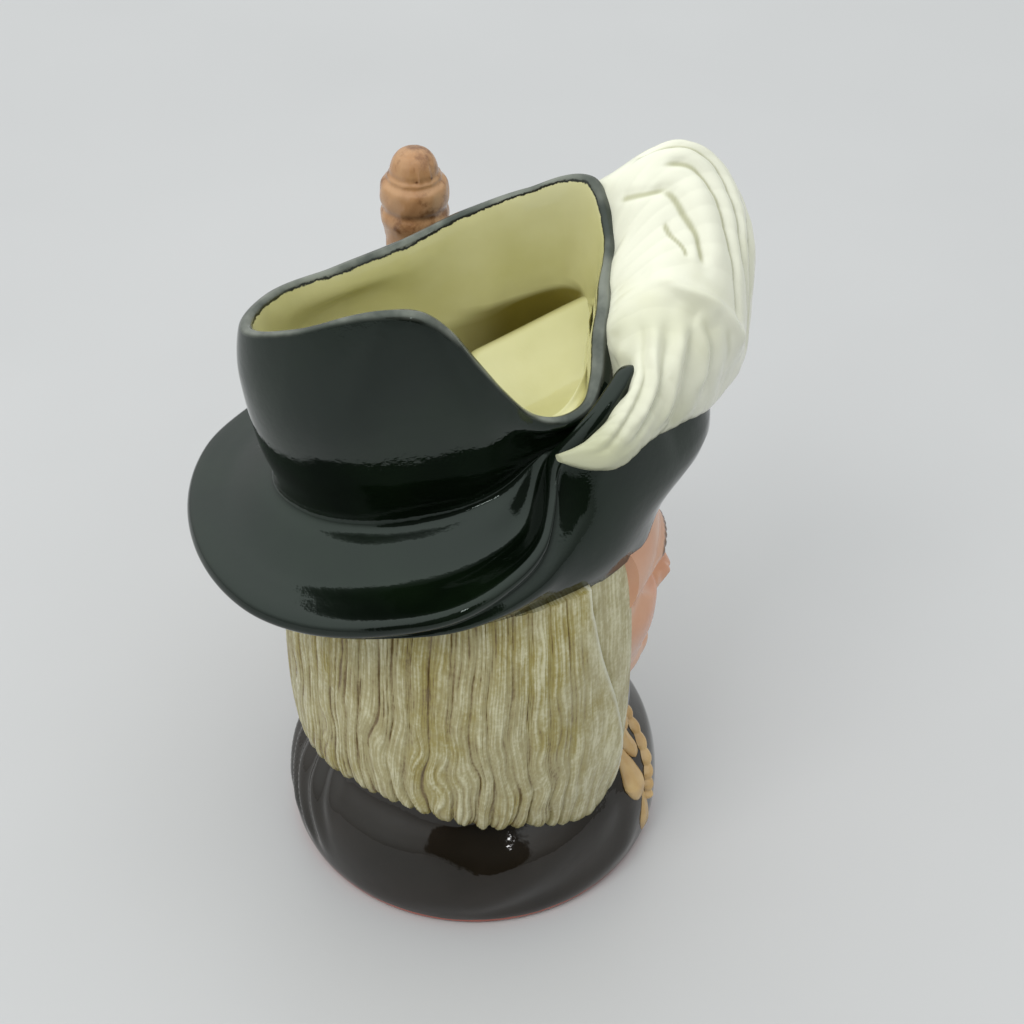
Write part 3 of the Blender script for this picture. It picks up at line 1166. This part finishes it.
CAMERA_DISTANCE = 0.480
CAMERA_TURN = 14.0  # past the figure's right side, towards its back
CAMERA_RISE = 42.57
CAMERA_LENS = 67.56
CAMERA_SHIFT = (0.0372, 0.0555)
CAMERA_TARGET = Vector((0, 0, 0.080))  # over the middle of the foot


def lamp(name, place, aim, size, power, colour=(1, 1, 1), in_glaze=True):
    """A soft rectangular light, which the glaze mirrors or not."""
    light = bpy.data.objects.new(name, bpy.data.lights.new(name, "AREA"))
    light.data.shape = "RECTANGLE"
    light.data.size, light.data.size_y = size
    light.data.energy = power
    light.data.color = colour
    light.location = place
    light.rotation_mode = "QUATERNION"
    light.rotation_quaternion = (Vector(aim) - Vector(place)).to_track_quat("-Z", "Y")
    light.visible_glossy = in_glaze
    bpy.context.scene.collection.objects.link(light)


def sky_shade(direction, turned, shades):
    """How bright the sky is: one shade, running smoothly into the other as the view turns to a direction."""
    toward = nodes.new("ShaderNodeVectorMath")
    toward.operation = "DOT_PRODUCT"
    toward.inputs[1].default_value = direction
    shade = nodes.new("ShaderNodeMapRange")
    shade.interpolation_type = "SMOOTHSTEP"
    links.new(sky, toward.inputs[0])
    links.new(toward.outputs["Value"], shade.inputs["Value"])
    shade.inputs["From Min"].default_value, shade.inputs["From Max"].default_value = turned
    shade.inputs["To Min"].default_value, shade.inputs["To Max"].default_value = shades
    return shade.outputs["Result"]


bpy.ops.mesh.primitive_plane_add(size=6)
floor = bpy.context.object
floor.name = "floor"
p = Paint("pale_floor")
p.finish(p.mix(p.noise(6, 3), (0.50, 0.50, 0.51), (0.56, 0.56, 0.57)), 0.35)
floor.data.materials.append(p.material)

camera = bpy.data.objects.new("camera", bpy.data.cameras.new("camera"))
bpy.context.scene.collection.objects.link(camera)
turn, rise = math.radians(CAMERA_TURN), math.radians(CAMERA_RISE)
back = Vector((-math.cos(turn) * math.cos(rise), math.sin(turn) * math.cos(rise), math.sin(rise)))
camera.location = Vector(AXIS.tolist()) + CAMERA_TARGET + back * CAMERA_DISTANCE
camera.rotation_mode = "QUATERNION"
camera.rotation_quaternion = (-back).to_track_quat("-Z", "Y")
camera.data.lens = CAMERA_LENS
camera.data.sensor_width = 36
camera.data.shift_x, camera.data.shift_y = CAMERA_SHIFT
bpy.context.scene.camera = camera

lamp("key", (-0.45, 0.62, 1.15), (0, 0, 0.1), size=(0.55, 0.42), power=4.2, colour=(1.0, 0.99, 0.96),
     in_glaze=False)
lamp("glint", (-1.15, 0.1, 0.95), (0, 0, 0.08), size=(0.09, 0.07), power=0.4)

world = bpy.data.worlds.new("studio")
world.use_nodes = True
nodes, links = world.node_tree.nodes, world.node_tree.links
sky = nodes.new("ShaderNodeTexCoord").outputs["Generated"]
overhead = sky_shade((0.1, 0.15, 0.98), (-0.2, 0.95), (0.36, 1.35))
dark_patch = sky_shade((-0.93, 0.16, 0.33), (0.90, 0.93), (1.0, 0.12))
strength = nodes.new("ShaderNodeMath")
strength.operation = "MULTIPLY"
links.new(overhead, strength.inputs[0])
links.new(dark_patch, strength.inputs[1])
nodes["Background"].inputs["Color"].default_value = (0.93, 0.96, 0.95, 1)
links.new(strength.outputs[0], nodes["Background"].inputs["Strength"])
bpy.context.scene.world = world
bpy.context.scene.view_settings.view_transform = "Standard"
